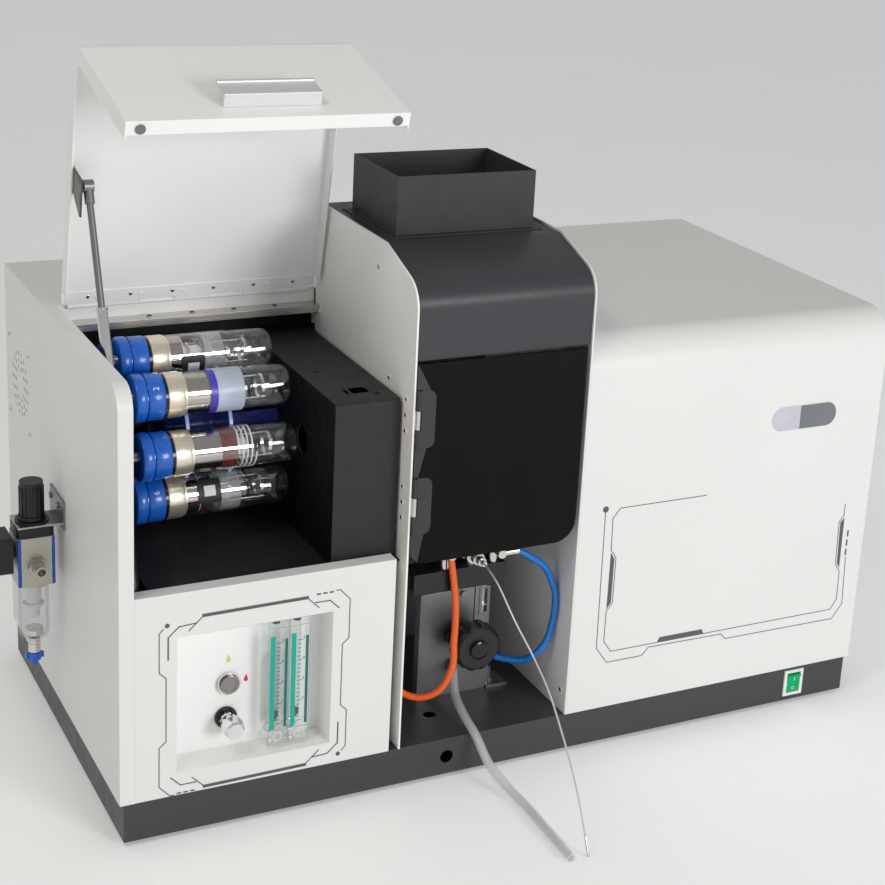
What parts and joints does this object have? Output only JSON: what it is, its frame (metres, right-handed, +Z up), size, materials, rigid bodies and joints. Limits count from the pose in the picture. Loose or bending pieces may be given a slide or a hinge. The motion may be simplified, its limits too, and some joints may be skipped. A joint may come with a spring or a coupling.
{
  "type": "atomic absorption spectrophotometer",
  "caption": "Benchtop flame atomic absorption spectrophotometer with a lidded lamp bay and lamp turret, a burner bay under a chimney, gas controls and an air filter regulator.",
  "frame": {"origin": "bottom centre of the whole outline, on the bench, without the free hoses", "axes": "+X to the right of a person facing the front, +Y from the front to the rear, +Z up"},
  "size_m": [0.974, 0.6732, 0.7718],
  "materials": {
    "panel_white": "fine textured powder coat",
    "base_dark": "fine textured powder coat",
    "liner_dark": "matt powder coat",
    "cover_charcoal": "satin powder coat",
    "rubber_black": "matt",
    "plastic_black": "fine moulded texture",
    "stainless": "brushed",
    "chrome_bright": "polished",
    "alu_handle": "satin anodised",
    "smoked_acrylic": "polished",
    "socket_blue": "moulded",
    "collar_champagne": "satin anodised",
    "lamp_glass": "clear",
    "holder_clear_blue": "clear tinted",
    "meter_acrylic": "clear acrylic",
    "scale_green": "printed film",
    "mark_grey": "printed",
    "badge_silver": "satin",
    "bezel_white": "moulded",
    "rocker_green": "moulded",
    "body_silver": "satin",
    "bowl_clear": "clear polycarbonate",
    "hose_orange": "smooth",
    "hose_blue": "smooth",
    "hose_clear": "clear soft",
    "capillary_white": "smooth",
    "module_grey": "satin",
    "needle_white": "matt"
  },
  "bodies": {
    "chassis": {"base_tray": "base_dark", "rubber_feet": "rubber_black", "left_side_panel": "panel_white", "left_front_panel": "panel_white", "rear_cover": "panel_white", "ledge_strip": "stainless", "compartment_liner": "liner_dark", "optics_box": "liner_dark", "tower_left_panel": "panel_white", "tower_right_panel": "panel_white", "tower_cover": "cover_charcoal", "chimney_duct": "cover_charcoal", "burner_backplate": "liner_dark", "right_cover": "panel_white", "gas_fittings": "stainless", "power_inlet": "plastic_black", "fan_frame": "plastic_black", "lift_bracket": "stainless", "gas_manifold": "plastic_black", "door_hinge_fixed": "stainless", "badge_plate": "badge_silver", "printed_marks": "mark_grey", "switch_bezel": "bezel_white", "regulator_body": "body_silver", "regulator_hardware": "stainless", "regulator_bowl": "bowl_clear", "gauge_case": "plastic_black", "meter_blocks": "meter_acrylic", "meter_scales": "scale_green", "internal_modules": "module_grey", "hose_orange": "hose_orange", "hose_blue": "hose_blue", "drain_hose": "hose_clear"},
    "lid": {"lid_shell": "panel_white", "lid_handle": "alu_handle", "lid_bumpers": "rubber_black", "lid_stud": "liner_dark"},
    "strut_tube_body": {"strut_tube": "liner_dark"},
    "strut_sleeve_body": {"strut_sleeve": "stainless"},
    "strut_rod_body": {"strut_rod": "chrome_bright"},
    "door": {"door_panel": "smoked_acrylic"},
    "rocker": {"power_rocker": "rocker_green"},
    "button": {"ignition_button": "stainless"},
    "gas_knob_body": {"gas_knob": "chrome_bright"},
    "lift": {"lift_slide": "stainless", "burner_head": "stainless", "spray_chamber": "plastic_black", "nebuliser": "chrome_bright", "capillary": "capillary_white"},
    "lift_knob": {"star_knob": "plastic_black"},
    "turret": {"turret_frame": "holder_clear_blue", "lamp_sockets": "socket_blue", "lamp_collars": "collar_champagne", "lamp_glass": "lamp_glass"},
    "float_left_body": {"float_left": "plastic_black"},
    "float_right_body": {"float_right": "plastic_black"},
    "regulator_knob_body": {"regulator_knob": "plastic_black"},
    "needle": {"gauge_needle": "needle_white"},
    "cock": {"drain_cock": "socket_blue"},
    "fan": {"fan_rotor": "plastic_black"}
  },
  "joints": [
    {"name": "lid_hinge", "type": "hinge", "parent": "chassis", "child": "lid", "pos_m": [-0.255, 0.0353, 0.486], "axis": [1, 0, 0], "range_deg": [0, 78]},
    {"name": "strut_swing", "type": "hinge", "parent": "chassis", "child": "strut_tube_body", "pos_m": [-0.385, -0.20461, 0.21924], "axis": [1, 0, 0], "range_deg": [-1, 4]},
    {"name": "strut_stage_lower", "type": "slide", "parent": "strut_tube_body", "child": "strut_sleeve_body", "axis": [0, 0.3778, 0.9259], "range_m": [-0.1035, 0.001]},
    {"name": "strut_stage_upper", "type": "slide", "parent": "strut_sleeve_body", "child": "strut_rod_body", "axis": [0, 0.3778, 0.9259], "range_m": [-0.1035, 0.001]},
    {"name": "door_hinge", "type": "hinge", "parent": "chassis", "child": "door", "pos_m": [-0.107, -0.2377, 0.37], "axis": [0, 0, -1], "range_deg": [0, 100]},
    {"name": "power_rocker_tilt", "type": "hinge", "parent": "chassis", "child": "rocker", "pos_m": [0.407, -0.2312, 0.028], "axis": [1, 0, 0], "range_deg": [-18, 0]},
    {"name": "ignition_press", "type": "slide", "parent": "chassis", "child": "button", "axis": [0, 1, 0], "range_m": [0, 0.0025], "stiffness_N_per_m": 900, "springref_m": -0.002},
    {"name": "gas_knob_turn", "type": "hinge", "parent": "chassis", "child": "gas_knob_body", "pos_m": [-0.29306, -0.2167, 0.10645], "axis": [0, 1, 0], "range_deg": [0, 270]},
    {"name": "burner_lift", "type": "slide", "parent": "chassis", "child": "lift", "axis": [0, 0, 1], "range_m": [0, 0.012]},
    {"name": "lift_knob_turn", "type": "hinge", "parent": "chassis", "child": "lift_knob", "pos_m": [0.003, -0.1797, 0.12301], "axis": [0, -1, 0], "range_deg": [-2, 116]},
    {"name": "turret_turn", "type": "hinge", "parent": "chassis", "child": "turret", "pos_m": [-0.263, -0.0457, 0.37], "axis": [1, 0, 0], "continuous": true},
    {"name": "left_float_rise", "type": "slide", "parent": "chassis", "child": "float_left_body", "axis": [0, 0, 1], "range_m": [0, 0.095]},
    {"name": "right_float_rise", "type": "slide", "parent": "chassis", "child": "float_right_body", "axis": [0, 0, 1], "range_m": [0, 0.095]},
    {"name": "regulator_knob_turn", "type": "hinge", "parent": "chassis", "child": "regulator_knob_body", "pos_m": [-0.443, -0.0177, 0.3], "axis": [0, 0, 1], "range_deg": [-360, 360]},
    {"name": "gauge_needle_turn", "type": "hinge", "parent": "chassis", "child": "needle", "pos_m": [-0.484, -0.0177, 0.242], "axis": [1, 0, 0], "range_deg": [0, 270]},
    {"name": "drain_cock_turn", "type": "hinge", "parent": "chassis", "child": "cock", "pos_m": [-0.443, -0.0177, 0.105], "axis": [0, 0, 1], "range_deg": [0, 90]},
    {"name": "fan_spin", "type": "hinge", "parent": "chassis", "child": "fan", "pos_m": [-0.403, 0.1534, 0.364], "axis": [1, 0, 0], "continuous": true}
  ],
  "couplings": [
    {"joint": "strut_swing", "follows": "lid_hinge", "ratio": 0.027138},
    {"joint": "strut_stage_lower", "follows": "lid_hinge", "m_per_rad": -0.074911},
    {"joint": "strut_stage_upper", "follows": "lid_hinge", "m_per_rad": -0.074616},
    {"joint": "lift_knob_turn", "follows": "burner_lift", "rad_per_m": 160}
  ]
}
